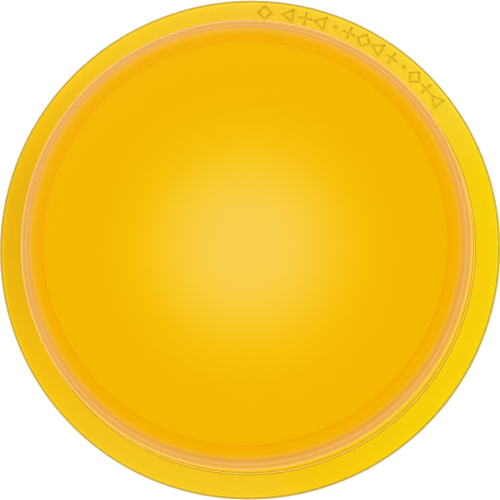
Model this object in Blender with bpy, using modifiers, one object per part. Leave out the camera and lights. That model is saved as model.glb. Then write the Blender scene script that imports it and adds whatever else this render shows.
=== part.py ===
"""Round raised pavement marker, lit from inside and wired from below.

Metres, +Z up. The origin is on the marker's axis, in the plane of its underside.
From the pavement up: housing with its cable gland, driver parts hanging under the LED
board, reflector tray, diffuser, and the amber lens that is sealed to the housing's rim.
"""
import math

import bmesh
import bpy

# Driving sizes
GAP = 0.0003  # clearance between pieces that touch
RING_STEPS = 48  # segments of the large turned pieces
SMALL_STEPS = 16  # segments of screws, inserts and capacitors

MARKER_R = 0.0500  # flange radius, the marker's largest
FLANGE_T = 0.0028
WALL_FOOT_R = 0.0449  # where the lens wall meets the flange
WALL_DRAFT = math.radians(3.3)
TOP_EDGE_R = 0.0032  # rounding of the lens's top edge
CUP_H = 0.0115  # flange top to the rim of the lens's top
CROWN_H = 0.0009  # how much the top bulges above that rim
TOP_T_CENTRE = 0.0036
TOP_T_RIM = 0.0040
LENS_BORE_R = 0.0407  # inside radius of the lens under its ceiling

BASE_R = 0.0497
BASE_H = 0.0095
FLOOR_Z = 0.0025  # top of the housing's floor
CAVITY_R = 0.0420
REBATE_R = 0.0440  # step inside the rim that takes the lens's spigot and its sealant
REBATE_DEPTH = 0.0030
SPIGOT_L = 0.0022
SPIGOT_IN_R = 0.0414

BOARD_T = 0.0016
BOARD_R = 0.0400
BOSS_TOP_Z = 0.0074
BOSS_CIRCLE_R = 0.0340
BOSS_ANGLES = [math.radians(45 + 90 * i) for i in range(4)]
BOSS_R = 0.0036

DIFFUSER_R = 0.0402
DIFFUSER_T = 0.0015
DIFFUSER_RISE = 0.0040  # flange top to the diffuser's upper face

LED_SIZE = 0.0035
LED_H = 0.0013
LED_RINGS = [(0.0, 1), (0.0135, 6), (0.0270, 12)]  # ring radius and number of LEDs

HUB_POCKET_R = 0.0090
HUB_POCKET_H = 0.0040
HUB_R = 0.0120
HUB_TOP_Z = 0.0060
CABLE_HOLE_R = 0.0035

# Levels that follow from them
FLANGE_Z = BASE_H + GAP
FLANGE_TOP_Z = FLANGE_Z + FLANGE_T
CUP_TOP_Z = FLANGE_TOP_Z + CUP_H
BOARD_Z = BOSS_TOP_Z + GAP
BOARD_TOP_Z = BOARD_Z + BOARD_T
REFLECTOR_Z = BOARD_TOP_Z + GAP
DIFFUSER_TOP_Z = FLANGE_TOP_Z + DIFFUSER_RISE
DIFFUSER_Z = DIFFUSER_TOP_Z - DIFFUSER_T


def clear_scene():
    for thing in list(bpy.data.objects):
        bpy.data.objects.remove(thing, do_unlink=True)


def new_collection(name):
    collection = bpy.data.collections.new(name)
    bpy.context.scene.collection.children.link(collection)
    return collection


def finish(name, colour, roughness, metallic=0.0, transmission=0.0):
    material = bpy.data.materials.new(name)
    material.use_nodes = True
    shader = material.node_tree.nodes["Principled BSDF"]
    shader.inputs["Base Color"].default_value = (*colour, 1.0)
    shader.inputs["Roughness"].default_value = roughness
    shader.inputs["Metallic"].default_value = metallic
    shader.inputs["Transmission Weight"].default_value = transmission
    material.diffuse_color = (*colour, 1.0)
    return material


clear_scene()
MARKER = new_collection("raised_pavement_marker")
CUTTERS = new_collection("cutters")

AMBER = finish("amber_polycarbonate", (0.91, 0.48, 0.01), 0.06, transmission=0.6)
OPAL = finish("opal_polycarbonate", (0.90, 0.90, 0.88), 0.35)
WHITE = finish("white_polycarbonate", (0.80, 0.80, 0.78), 0.45)
SILICONE = finish("clear_silicone", (0.70, 0.70, 0.68), 0.30)
BOARD_MASK = finish("white_solder_mask", (0.82, 0.83, 0.82), 0.30)
LED_BODY = finish("led_package", (0.85, 0.80, 0.55), 0.25)
CHIP_BLACK = finish("moulded_epoxy", (0.03, 0.03, 0.03), 0.45)
FERRITE = finish("ferrite", (0.06, 0.06, 0.06), 0.55)
CERAMIC = finish("ceramic_body", (0.75, 0.70, 0.60), 0.35)
CAN = finish("capacitor_can", (0.75, 0.75, 0.76), 0.30, metallic=1.0)
TERMINAL = finish("terminal_nylon", (0.60, 0.60, 0.58), 0.50)
STEEL = finish("stainless_steel", (0.62, 0.62, 0.61), 0.30, metallic=1.0)
BRASS = finish("brass", (0.78, 0.58, 0.25), 0.30, metallic=1.0)
RUBBER = finish("black_rubber", (0.03, 0.03, 0.03), 0.60)
NYLON = finish("black_nylon", (0.04, 0.04, 0.04), 0.45)


def add_object(name, mesh, material=None, collection=None):
    thing = bpy.data.objects.new(name, mesh)
    (collection or MARKER).objects.link(thing)
    if material:
        mesh.materials.append(material)
    return thing


def arc(centre, radius, start, end, count):
    """Points (r, z) along an arc, angles from the +r direction, ends included."""
    step = (end - start) / (count - 1)
    angles = [start + step * i for i in range(count)]
    return [(centre[0] + radius * math.cos(a), centre[1] + radius * math.sin(a)) for a in angles]


def turned(name, outline, steps, material=None, collection=None):
    """A solid turned about Z. The outline goes down its outer side; off the axis it closes."""
    mesh = bpy.data.meshes.new(name)
    form = bmesh.new()
    points = [form.verts.new((r, 0.0, z)) for r, z in outline]
    for first, second in zip(points, points[1:]):
        form.edges.new((first, second))
    if outline[0][0] > 0.0:
        form.edges.new((points[-1], points[0]))
    form.to_mesh(mesh)
    form.free()
    thing = add_object(name, mesh, material, collection)
    screw = thing.modifiers.new("turn", "SCREW")
    screw.axis = "Z"
    screw.steps = screw.render_steps = steps
    screw.use_merge_vertices = True
    screw.merge_threshold = 0.00001
    screw.use_smooth_shade = False
    return thing


def ring_outline(inner, outer, bottom, top):
    return [(outer, top), (outer, bottom), (inner, bottom), (inner, top)]


def disc_outline(radius, bottom, top):
    return [(0.0, top), (radius, top), (radius, bottom), (0.0, bottom)]


def block(name, size, centre, material=None, collection=None, chamfer=0.0, turn=0.0):
    """A box with its scale applied, placed by location and turned about Z."""
    mesh = bpy.data.meshes.new(name)
    form = bmesh.new()
    bmesh.ops.create_cube(form, size=1.0)
    bmesh.ops.scale(form, vec=size, verts=form.verts)
    form.to_mesh(mesh)
    form.free()
    thing = add_object(name, mesh, material, collection)
    thing.location = centre
    thing.rotation_euler = (0.0, 0.0, turn)
    if chamfer:
        bevel = thing.modifiers.new("edge", "BEVEL")
        bevel.width = chamfer
        bevel.segments = 1
    return thing


def as_tool(thing):
    """Mark an object as a tool for a Boolean: moved to the cutters and not a piece."""
    thing.hide_render = True
    thing.display_type = "WIRE"
    return thing


def combine(thing, tool, operation):
    step = thing.modifiers.new(operation.lower(), "BOOLEAN")
    step.operation = operation
    step.solver = "EXACT"
    step.object = as_tool(tool)


def on_circle(radius, angle):
    return radius * math.cos(angle), radius * math.sin(angle)


def make_lens():
    """Amber cup with a flange, and a spigot below the flange for the housing's rebate."""
    edge_angle = math.pi / 2 - 2 * CROWN_H / WALL_FOOT_R
    wall_top_drop = TOP_EDGE_R * (1 - math.sin(WALL_DRAFT))
    wall_run = (CUP_H - wall_top_drop) * math.tan(WALL_DRAFT)
    edge_centre_r = WALL_FOOT_R - wall_run - TOP_EDGE_R * math.cos(WALL_DRAFT)
    edge = arc((edge_centre_r, CUP_TOP_Z - TOP_EDGE_R), TOP_EDGE_R, edge_angle, WALL_DRAFT, 6)
    crown_rim = edge[0][0]
    shares = [i / 5 for i in range(5)]
    crown = [(s * crown_rim, CUP_TOP_Z + CROWN_H * (1 - s * s)) for s in shares]
    tip = 0.0004
    flange = [(WALL_FOOT_R, FLANGE_TOP_Z), (MARKER_R - tip, FLANGE_TOP_Z),
              (MARKER_R, FLANGE_TOP_Z - tip), (MARKER_R, FLANGE_Z + tip),
              (MARKER_R - tip, FLANGE_Z)]
    spigot_out_r = REBATE_R - GAP
    spigot = [(spigot_out_r, FLANGE_Z), (spigot_out_r, FLANGE_Z - SPIGOT_L),
              (SPIGOT_IN_R, FLANGE_Z - SPIGOT_L)]
    inner_edge_r = 0.0012
    ceiling_rim_z = CUP_TOP_Z - TOP_T_RIM
    inner_edge = arc((LENS_BORE_R - inner_edge_r, ceiling_rim_z - inner_edge_r),
                     inner_edge_r, 0.0, math.pi / 2, 4)
    ceiling_z = CUP_TOP_Z + CROWN_H - TOP_T_CENTRE
    ceiling_rim_r = inner_edge[-1][0]
    ceiling = [(s * ceiling_rim_r, ceiling_rim_z + (ceiling_z - ceiling_rim_z) * (1 - s * s))
               for s in (0.75, 0.5, 0.25, 0.0)]
    outline = crown + edge + flange + spigot + inner_edge + ceiling
    turned("lens", outline, RING_STEPS, AMBER)


def make_lens_sealant():
    """Silicone ring on the rebate's ledge, under the spigot."""
    bottom = BASE_H - REBATE_DEPTH + GAP
    top = FLANGE_Z - SPIGOT_L - GAP
    outline = ring_outline(CAVITY_R + GAP, REBATE_R - GAP, bottom, top)
    turned("lens_sealant", outline, RING_STEPS, SILICONE)


def make_base_housing():
    """White tray: keyed underside, hub for the cable gland, bosses and the lens's rebate."""
    key_depth = 0.0010
    key_rings = [(0.0135, 0.0270), (0.0290, 0.0435)]  # adhesive pockets between flat lands
    foot = 0.0005
    ledge_z = BASE_H - REBATE_DEPTH
    outline = [(BASE_R, BASE_H), (BASE_R - foot, 0.0)]
    for inner, outer in reversed(key_rings):
        outline += [(outer, 0.0), (outer, key_depth), (inner, key_depth), (inner, 0.0)]
    outline += [(HUB_POCKET_R, 0.0), (HUB_POCKET_R, HUB_POCKET_H),
                (CABLE_HOLE_R, HUB_POCKET_H), (CABLE_HOLE_R, HUB_TOP_Z),
                (HUB_R, HUB_TOP_Z), (HUB_R + foot, FLOOR_Z),
                (CAVITY_R - foot, FLOOR_Z), (CAVITY_R, ledge_z),
                (REBATE_R, ledge_z), (REBATE_R, BASE_H)]
    housing = turned("base_housing", outline, RING_STEPS, WHITE)

    rib_w = 0.0020
    rib_in = key_rings[0][0] - 0.0010
    rib_out = key_rings[-1][1] + 0.0010
    rib_h = key_depth + 0.0005
    for i in range(6):
        angle = math.radians(15 + 60 * i)
        centre = (*on_circle((rib_in + rib_out) / 2, angle), rib_h / 2)
        rib = block(f"rib_{i + 1}", (rib_out - rib_in, rib_w, rib_h), centre,
                    collection=CUTTERS, turn=angle)
        combine(housing, rib, "UNION")
    insert_hole_r = 0.0025
    insert_floor_z = 0.0028
    for i, angle in enumerate(BOSS_ANGLES):
        x, y = on_circle(BOSS_CIRCLE_R, angle)
        boss = turned(f"boss_{i + 1}", disc_outline(BOSS_R, FLOOR_Z - 0.0005, BOSS_TOP_Z),
                      SMALL_STEPS, collection=CUTTERS)
        hole = turned(f"insert_hole_{i + 1}",
                      disc_outline(insert_hole_r, insert_floor_z, BOSS_TOP_Z + 0.001),
                      SMALL_STEPS, collection=CUTTERS)
        boss.location = hole.location = (x, y, 0.0)
        combine(housing, boss, "UNION")
        combine(housing, hole, "DIFFERENCE")


def make_led_board():
    board = turned("led_board", disc_outline(BOARD_R, BOARD_Z, BOARD_TOP_Z),
                   RING_STEPS, BOARD_MASK)
    drill_board_holes(board, BOARD_Z, BOARD_TOP_Z)
    notch = turned("board_notch", disc_outline(0.0020, BOARD_Z - 0.001, BOARD_TOP_Z + 0.001),
                   SMALL_STEPS, collection=CUTTERS)
    notch.location = (BOARD_R, 0.0, 0.0)
    combine(board, notch, "DIFFERENCE")


def drill_board_holes(thing, bottom, top):
    """Clearance holes for the four screws through the board and the reflector."""
    clearance_r = 0.0016
    for i, angle in enumerate(BOSS_ANGLES):
        hole = turned(f"{thing.name}_hole_{i + 1}",
                      disc_outline(clearance_r, bottom - 0.001, top + 0.001),
                      SMALL_STEPS, collection=CUTTERS)
        hole.location = (*on_circle(BOSS_CIRCLE_R, angle), 0.0)
        combine(thing, hole, "DIFFERENCE")


def led_places():
    for radius, count in LED_RINGS:
        for i in range(count):
            angle = 2 * math.pi * i / count
            yield (*on_circle(radius, angle), angle)


def make_leds():
    """Surface-mount packages: a chamfered body with a shallow cup for the die."""
    wall = 0.0005
    cup_depth = 0.0004
    mesh = bpy.data.meshes.new("led")
    form = bmesh.new()
    bmesh.ops.create_cube(form, size=1.0)
    bmesh.ops.scale(form, vec=(LED_SIZE, LED_SIZE, LED_H), verts=form.verts)
    form.faces.ensure_lookup_table()
    top = max(form.faces, key=lambda face: face.calc_center_median().z)
    bmesh.ops.inset_region(form, faces=[top], thickness=wall)
    bmesh.ops.translate(form, vec=(0.0, 0.0, -cup_depth), verts=top.verts)
    form.to_mesh(mesh)
    form.free()
    mesh.materials.append(LED_BODY)
    for i, (x, y, angle) in enumerate(led_places()):
        led = bpy.data.objects.new(f"led_{i + 1:02d}", mesh)
        MARKER.objects.link(led)
        led.location = (x, y, REFLECTOR_Z + LED_H / 2)
        led.rotation_euler = (0.0, 0.0, angle)


def make_reflector():
    """White tray with a sloping wall, a rim that carries the diffuser, and LED apertures."""
    floor_t = 0.0012
    floor_r = 0.0372
    wall_t = 0.0010
    rim_r = DIFFUSER_R - GAP
    rim_z = DIFFUSER_Z - GAP
    outline = [(0.0, REFLECTOR_Z + floor_t), (floor_r, REFLECTOR_Z + floor_t),
               (rim_r - wall_t, rim_z), (rim_r, rim_z), (rim_r, rim_z - 0.0008),
               (floor_r + wall_t, REFLECTOR_Z), (0.0, REFLECTOR_Z)]
    tray = turned("reflector", outline, RING_STEPS, WHITE)
    aperture = LED_SIZE + 0.0010
    for i, (x, y, angle) in enumerate(led_places()):
        hole = block(f"aperture_{i + 1}", (aperture, aperture, floor_t * 3),
                     (x, y, REFLECTOR_Z + floor_t / 2), collection=CUTTERS, turn=angle)
        combine(tray, hole, "DIFFERENCE")
    drill_board_holes(tray, REFLECTOR_Z, REFLECTOR_Z + floor_t)


def make_diffuser():
    """Opal disc with a locating rib that drops inside the reflector's rim."""
    rib_out = 0.0376
    rib_in = 0.0364
    rib_z = DIFFUSER_Z - 0.0012
    chamfer = 0.0003
    outline = [(0.0, DIFFUSER_TOP_Z), (DIFFUSER_R - chamfer, DIFFUSER_TOP_Z),
               (DIFFUSER_R, DIFFUSER_TOP_Z - chamfer), (DIFFUSER_R, DIFFUSER_Z),
               (rib_out, DIFFUSER_Z), (rib_out, rib_z), (rib_in, rib_z),
               (rib_in, DIFFUSER_Z), (0.0, DIFFUSER_Z)]
    turned("diffuser", outline, RING_STEPS, OPAL)


def make_board_screws():
    """Pan-head screws that clamp the reflector and the board to the inserts."""
    head_r = 0.0023
    head_h = 0.0015
    shank_r = 0.00125
    shank_end_z = 0.0034
    head_z = REFLECTOR_Z + 0.0012 + GAP
    top_z = head_z + head_h
    dome = 0.0005
    outline = [(0.0, top_z), (head_r - dome, top_z), (head_r, top_z - dome), (head_r, head_z),
               (shank_r, head_z), (shank_r, shank_end_z + dome),
               (shank_r - dome, shank_end_z), (0.0, shank_end_z)]
    socket_r = 0.0010
    socket_depth = 0.0009
    for i, angle in enumerate(BOSS_ANGLES):
        screw = turned(f"board_screw_{i + 1}", outline, SMALL_STEPS, STEEL)
        socket = turned(f"screw_socket_{i + 1}",
                        disc_outline(socket_r, top_z - socket_depth, top_z + 0.001),
                        6, collection=CUTTERS)
        screw.location = socket.location = (*on_circle(BOSS_CIRCLE_R, angle), 0.0)
        combine(screw, socket, "DIFFERENCE")


def make_threaded_inserts():
    outer_r = 0.0022
    bore_r = outer_r - 0.00065
    waist = 0.0002
    bottom = 0.0031
    top = BOSS_TOP_Z - GAP
    middle = (bottom + top) / 2
    outline = [(outer_r, top), (outer_r, middle + waist), (outer_r - waist, middle),
               (outer_r, middle - waist), (outer_r, bottom), (bore_r, bottom), (bore_r, top)]
    for i, angle in enumerate(BOSS_ANGLES):
        insert = turned(f"threaded_insert_{i + 1}", outline, SMALL_STEPS, BRASS)
        insert.location = (*on_circle(BOSS_CIRCLE_R, angle), 0.0)


def under_board(height):
    """Height of the middle of a part that hangs below the board."""
    return BOARD_Z - GAP - height / 2


def leaded_chip(name, size, pins, place, turn):
    """A moulded chip whose flat leads run out of its two long sides under the board."""
    length, width, height = size
    lead_w, lead_h, lead_reach = 0.0006, 0.0004, 0.0010
    chamfer = 0.0002
    x, y = place
    lead_z = under_board(height) + height / 2 - chamfer - lead_h
    chip = block(name, size, (x, y, under_board(height)), CHIP_BLACK, chamfer=chamfer, turn=turn)
    pitch = length / pins
    for i in range(pins):
        along = (i + 0.5) * pitch - length / 2
        dx, dy = along * math.cos(turn), along * math.sin(turn)
        lead = block(f"{name}_lead_{i + 1}", (lead_w, width + 2 * lead_reach, lead_h),
                     (x + dx, y + dy, lead_z),
                     collection=CUTTERS, turn=turn)
        combine(chip, lead, "UNION")


def make_driver_chips():
    leaded_chip("bridge_rectifier", (0.0065, 0.0052, 0.0025), 2, (-0.0230, 0.0060), math.radians(90))
    leaded_chip("led_driver", (0.0050, 0.0039, 0.0016), 4, (0.0020, 0.0215), 0.0)


def make_power_inductor():
    """Shielded inductor: a square ferrite block with the coil's round well in its free side."""
    size = 0.0070
    height = 0.0034
    centre = (0.0150, 0.0190, under_board(height))
    turn = math.radians(35)
    inductor = block("power_inductor", (size, size, height), centre, FERRITE,
                     chamfer=0.0005, turn=turn)
    free_side = centre[2] - height / 2
    well = turned("coil_well", ring_outline(0.0017, 0.0029, -0.001, 0.0006), SMALL_STEPS,
                  collection=CUTTERS)
    well.location = (centre[0], centre[1], free_side)
    combine(inductor, well, "DIFFERENCE")


def make_capacitor(name, place, turn):
    """Surface-mount electrolytic: a can on a square seat, hanging below the board."""
    seat_size = 0.0066
    seat_h = 0.0008
    can_r = 0.0030
    can_h = 0.0034
    groove = 0.0002
    x, y = place
    seat_z = BOARD_Z - GAP - seat_h
    top = seat_z + 0.0002
    bottom = seat_z - can_h
    can = turned(name, [(0.0, top), (can_r, top), (can_r, top - 0.0007),
                        (can_r - groove, top - 0.0010), (can_r, top - 0.0013),
                        (can_r, bottom + groove), (can_r - groove, bottom), (0.0, bottom)],
                 SMALL_STEPS, CAN)
    can.location = (x, y, 0.0)
    seat = block(f"{name}_seat", (seat_size, seat_size, seat_h), (x, y, seat_z + seat_h / 2),
                 collection=CUTTERS, turn=turn)
    combine(can, seat, "UNION")


def make_fuse_and_varistor():
    """Two-terminal parts: a body with a slightly larger metal cap at each end."""
    for name, size, place, turn in (
            ("fuse", (0.0060, 0.0024, 0.0022), (-0.0050, -0.0250), 0.0),
            ("surge_varistor", (0.0078, 0.0058, 0.0020), (-0.0200, -0.0150), math.radians(50))):
        length, width, height = size
        x, y = place
        rise = 0.0001
        z = under_board(height) - rise
        body = block(name, size, (x, y, z), CERAMIC, turn=turn)
        cap_l = length / 6
        for side in (-1, 1):
            off = side * (length / 2 - cap_l / 2 + rise)
            cap = block(f"{name}_cap_{side + 2}", (cap_l, width + 2 * rise, height + 2 * rise),
                        (x + off * math.cos(turn), y + off * math.sin(turn), z),
                        collection=CUTTERS, turn=turn)
            combine(body, cap, "UNION")


def make_terminal_block():
    """Two-pole push-in block; its wire mouths face the cable hole in the hub."""
    size = (0.0080, 0.0100, 0.0042)
    centre = (0.0220, -0.0080, under_board(0.0042))
    turn = math.atan2(centre[1], centre[0])
    terminal = block("terminal_block", size, centre, TERMINAL, chamfer=0.0004, turn=turn)
    mouth = 0.0022
    depth = 0.0055
    spacing = 0.0045
    for side in (-1, 1):
        along = -size[0] / 2 + depth / 2 - 0.001
        across = side * spacing / 2
        x = centre[0] + along * math.cos(turn) - across * math.sin(turn)
        y = centre[1] + along * math.sin(turn) + across * math.cos(turn)
        hole = block(f"wire_mouth_{side + 2}", (depth, mouth, mouth), (x, y, centre[2]),
                     collection=CUTTERS, turn=turn)
        combine(terminal, hole, "DIFFERENCE")


def make_gland():
    """Cable inlet in the hub's pocket: rubber seal, washer, and the nut that squeezes them."""
    bore_r = 0.0031
    seal_top = HUB_POCKET_H - GAP
    seal_h = 0.0012
    washer_h = 0.0005
    seal_z = seal_top - seal_h
    washer_top = seal_z - GAP
    washer_z = washer_top - washer_h
    nut_top = washer_z - GAP
    nut_z = 0.0002
    ring_r = 0.0075
    turned("gland_seal", ring_outline(bore_r, ring_r, seal_z, seal_top), 24, RUBBER)
    turned("gland_washer", ring_outline(bore_r + GAP, ring_r, washer_z, washer_top), 24, STEEL)
    nut = turned("gland_nut",
                 [(HUB_POCKET_R - GAP, nut_top), (HUB_POCKET_R - GAP, nut_z + GAP),
                  (HUB_POCKET_R - 2 * GAP, nut_z), (bore_r + GAP, nut_z), (bore_r + GAP, nut_top)],
                 24, NYLON)
    slot_w = 0.0018
    slot_h = 0.0008
    for i in range(2):
        slot = block(f"nut_slot_{i + 1}", (2 * HUB_POCKET_R, slot_w, 2 * slot_h), (0.0, 0.0, nut_z),
                     collection=CUTTERS, turn=math.radians(90 * i))
        combine(nut, slot, "DIFFERENCE")


make_base_housing()
make_gland()
make_threaded_inserts()
make_driver_chips()
make_power_inductor()
make_capacitor("input_capacitor", (-0.0110, 0.0190), math.radians(30))
make_capacitor("output_capacitor", (0.0080, -0.0220), math.radians(-20))
make_fuse_and_varistor()
make_terminal_block()
make_led_board()
make_leds()
make_reflector()
make_board_screws()
make_diffuser()
make_lens_sealant()
make_lens()
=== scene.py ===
import math

import bpy
from mathutils import Matrix, Vector


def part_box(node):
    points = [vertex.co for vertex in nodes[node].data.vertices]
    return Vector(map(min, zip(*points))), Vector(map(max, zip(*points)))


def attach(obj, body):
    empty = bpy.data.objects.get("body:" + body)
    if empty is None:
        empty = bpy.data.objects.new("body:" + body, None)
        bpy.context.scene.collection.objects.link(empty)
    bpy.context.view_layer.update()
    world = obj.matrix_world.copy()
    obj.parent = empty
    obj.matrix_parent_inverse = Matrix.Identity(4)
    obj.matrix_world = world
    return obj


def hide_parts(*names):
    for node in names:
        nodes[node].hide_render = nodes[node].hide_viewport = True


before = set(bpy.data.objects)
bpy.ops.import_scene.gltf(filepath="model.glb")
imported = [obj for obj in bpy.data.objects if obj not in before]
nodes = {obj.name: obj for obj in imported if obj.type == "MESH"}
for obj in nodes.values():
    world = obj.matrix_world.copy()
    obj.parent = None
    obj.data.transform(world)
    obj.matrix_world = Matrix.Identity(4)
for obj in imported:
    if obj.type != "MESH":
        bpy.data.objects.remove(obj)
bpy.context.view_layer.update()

# ---------------------------------------------------------------------------
# The studio: a white floor under a dome of soft light. The dome is bright low down, all round,
# and dark overhead, with one soft lamp close to the camera's own reflection in the lens.

view_settings = bpy.context.scene.view_settings
view_settings.view_transform = "Standard"

bond_line = 0.0003
flange_thickness = 0.0028
flange_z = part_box("base_housing")[1][2] + bond_line
flange_top = flange_z + flange_thickness

camera_azimuth = math.radians(34.0)
camera_elevation = math.radians(83.3)
frame_width = 0.0996
aim_shift = 0.0006
towards_camera = Vector((math.sin(camera_azimuth) * math.cos(camera_elevation),
                         -math.cos(camera_azimuth) * math.cos(camera_elevation),
                         math.sin(camera_elevation)))
camera_data = bpy.data.cameras.new("camera")
camera_data.lens = 180.0
camera_data.sensor_width = 36.0
camera_data.clip_start = 0.01
camera = bpy.data.objects.new("camera", camera_data)
bpy.context.scene.collection.objects.link(camera)
bpy.context.scene.camera = camera
camera_distance = frame_width * camera_data.lens / camera_data.sensor_width
right = Vector((0.0, 1.0, 0.0)).cross(towards_camera).normalized()
up = towards_camera.cross(right)
aim = Vector((aim_shift * math.sin(camera_azimuth), -aim_shift * math.cos(camera_azimuth),
              flange_top))
camera.matrix_world = (Matrix.Translation(aim + towards_camera * camera_distance)
                       @ Matrix((right, up, towards_camera)).transposed().to_4x4())

world = bpy.data.worlds.new("studio")
bpy.context.scene.world = world
world.use_nodes = True
dome = world.node_tree
background = dome.nodes["Background"]
direction = dome.nodes.new("ShaderNodeTexCoord").outputs["Generated"]


def dome_angle(axis):
    """Angle in degrees between the direction looked in and an axis."""
    dot = dome.nodes.new("ShaderNodeVectorMath")
    dot.operation = "DOT_PRODUCT"
    dome.links.new(direction, dot.inputs[0])
    dot.inputs[1].default_value = axis
    angle = dome.nodes.new("ShaderNodeMath")
    angle.operation = "ARCCOSINE"
    dome.links.new(dot.outputs["Value"], angle.inputs[0])
    degrees = dome.nodes.new("ShaderNodeMath")
    degrees.operation = "DEGREES"
    dome.links.new(angle.outputs[0], degrees.inputs[0])
    return degrees.outputs[0]


def dome_ramp(angle, full_turn, stops):
    """A colour ramp over an angle; stops are (angle, colour)."""
    share = dome.nodes.new("ShaderNodeMath")
    share.operation = "DIVIDE"
    dome.links.new(angle, share.inputs[0])
    share.inputs[1].default_value = full_turn
    ramp = dome.nodes.new("ShaderNodeValToRGB")
    ramp.color_ramp.interpolation = "LINEAR"
    while len(ramp.color_ramp.elements) < len(stops):
        ramp.color_ramp.elements.new(0.5)
    for element, (at, colour) in zip(ramp.color_ramp.elements, stops):
        element.position = at / full_turn
        element.color = (*colour, 1.0)
    dome.links.new(share.outputs[0], ramp.inputs[0])
    return ramp.outputs["Color"]


lamp_axis = Vector((-towards_camera.x, -towards_camera.y, towards_camera.z))
ring_light = dome_ramp(dome_angle((0.0, 0.0, 1.0)), 180.0,
                       [(0.0, (0.0, 0.0, 0.0)), (12.0, (0.0, 0.0, 0.0)),
                        (22.0, (0.07, 0.07, 0.07)), (32.0, (0.16, 0.16, 0.16)),
                        (44.0, (0.29, 0.29, 0.29)), (56.0, (0.56, 0.56, 0.56)),
                        (68.0, (0.84, 0.84, 0.84)), (84.0, (1.0, 1.0, 1.0)),
                        (180.0, (1.0, 1.0, 1.0))])
lamp_light = dome_ramp(dome_angle(lamp_axis), 10.0,
                       [(0.0, (1.0, 1.0, 1.0)), (1.5, (0.97, 0.97, 0.97)),
                        (2.6, (0.86, 0.80, 0.53)), (3.5, (0.70, 0.68, 0.20)),
                        (4.4, (0.48, 0.48, 0.03)), (6.5, (0.0, 0.0, 0.0))])
ring_strength = 3.3
lamp_strength = 2.9
ring_part = dome.nodes.new("ShaderNodeVectorMath")
ring_part.operation = "SCALE"
ring_part.inputs["Scale"].default_value = ring_strength
dome.links.new(ring_light, ring_part.inputs[0])
total = dome.nodes.new("ShaderNodeVectorMath")
total.operation = "MULTIPLY_ADD"
dome.links.new(lamp_light, total.inputs[0])
total.inputs[1].default_value = (lamp_strength,) * 3
dome.links.new(ring_part.outputs[0], total.inputs[2])
dome.links.new(total.outputs[0], background.inputs["Color"])


def plain_material(name, colour, roughness, metallic=0.0):
    """A material with a Principled shader; returns it, its shader and its tree."""
    material = bpy.data.materials.new(name)
    material.use_nodes = True
    shader = material.node_tree.nodes["Principled BSDF"]
    shader.inputs["Base Color"].default_value = (*colour, 1.0)
    shader.inputs["Roughness"].default_value = roughness
    shader.inputs["Metallic"].default_value = metallic
    return material, shader, material.node_tree


bpy.ops.object.select_all(action="DESELECT")
bpy.ops.mesh.primitive_plane_add(size=4.0, location=(0.0, 0.0, 0.0))
floor = bpy.context.object
floor.name = "floor"
floor.data.materials.append(plain_material("floor_paper", (0.95, 0.95, 0.95), 0.9)[0])

# ---------------------------------------------------------------------------
# Housing: the pale grey tray that is bonded to the road. It is one polycarbonate moulding, with
# pockets below that key the adhesive, a hub for the cable inlet, four bosses for the inserts and a
# stepped rim for the lens.


def select_none():
    """Leaves nothing selected, because an operator acts on all that is."""
    if bpy.context.object and bpy.context.object.mode != "OBJECT":
        bpy.ops.object.mode_set(mode="OBJECT")
    bpy.ops.object.select_all(action="DESELECT")


def take(piece):
    """Selects one piece alone and makes it the active one."""
    select_none()
    piece.select_set(True)
    bpy.context.view_layer.objects.active = piece


def turn_rings(name, outline, sides):
    """A turned piece: one ring of edges, extruded and resized along its outline, then closed.

    The outline's points are (radius, height), down the outer side and up the inner one. With a
    first radius of 0 the piece is solid on its axis, otherwise its last ring joins its first.
    """
    select_none()
    solid = outline[0][0] == 0.0
    rings = outline[1:-1] if solid else outline
    radius, height = rings[0]
    bpy.ops.mesh.primitive_circle_add(vertices=sides, radius=radius, fill_type="NOTHING",
                                      location=(0.0, 0.0, height))
    piece = bpy.context.object
    piece.name = name
    bpy.ops.object.transform_apply(location=True, rotation=True, scale=True)
    bpy.ops.object.mode_set(mode="EDIT")
    bpy.ops.mesh.select_mode(type="EDGE")
    bpy.ops.mesh.select_all(action="SELECT")
    for next_radius, next_height in rings[1:]:
        bpy.ops.mesh.extrude_region_move(
            TRANSFORM_OT_translate={"value": (0.0, 0.0, next_height - height)})
        share = next_radius / radius
        bpy.ops.transform.resize(value=(share, share, 1.0),
                                 center_override=(0.0, 0.0, next_height))
        radius, height = next_radius, next_height
    bpy.ops.mesh.select_all(action="DESELECT")
    bpy.ops.mesh.select_mode(type="EDGE")
    bpy.ops.mesh.select_non_manifold()
    if solid:
        bpy.ops.mesh.fill_holes(sides=0)
        bpy.ops.mesh.select_mode(type="FACE")
        bpy.ops.mesh.select_all(action="DESELECT")
        bpy.ops.mesh.select_face_by_sides(number=sides)
        bpy.ops.mesh.poke()
    else:
        bpy.ops.mesh.bridge_edge_loops()
    bpy.ops.mesh.select_all(action="SELECT")
    bpy.ops.mesh.normals_make_consistent(inside=False)
    bpy.ops.object.mode_set(mode="OBJECT")
    return piece


near = 0.00002


def round_ring(piece, radius, height, width, segments):
    """Rounds the sharp ring of edges that lies at a radius and a height."""
    take(piece)
    mesh = piece.data
    for part in (mesh.vertices, mesh.edges, mesh.polygons):
        for item in part:
            item.select = False
    for vertex in mesh.vertices:
        vertex.select = (abs(math.hypot(vertex.co.x, vertex.co.y) - radius) < near
                         and abs(vertex.co.z - height) < near)
    for edge in mesh.edges:
        edge.select = all(mesh.vertices[i].select for i in edge.vertices)
    bpy.ops.object.mode_set(mode="EDIT")
    bpy.ops.mesh.select_mode(type="EDGE")
    bpy.ops.mesh.bevel(offset=width, segments=segments, profile=0.5)
    bpy.ops.object.mode_set(mode="OBJECT")


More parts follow.
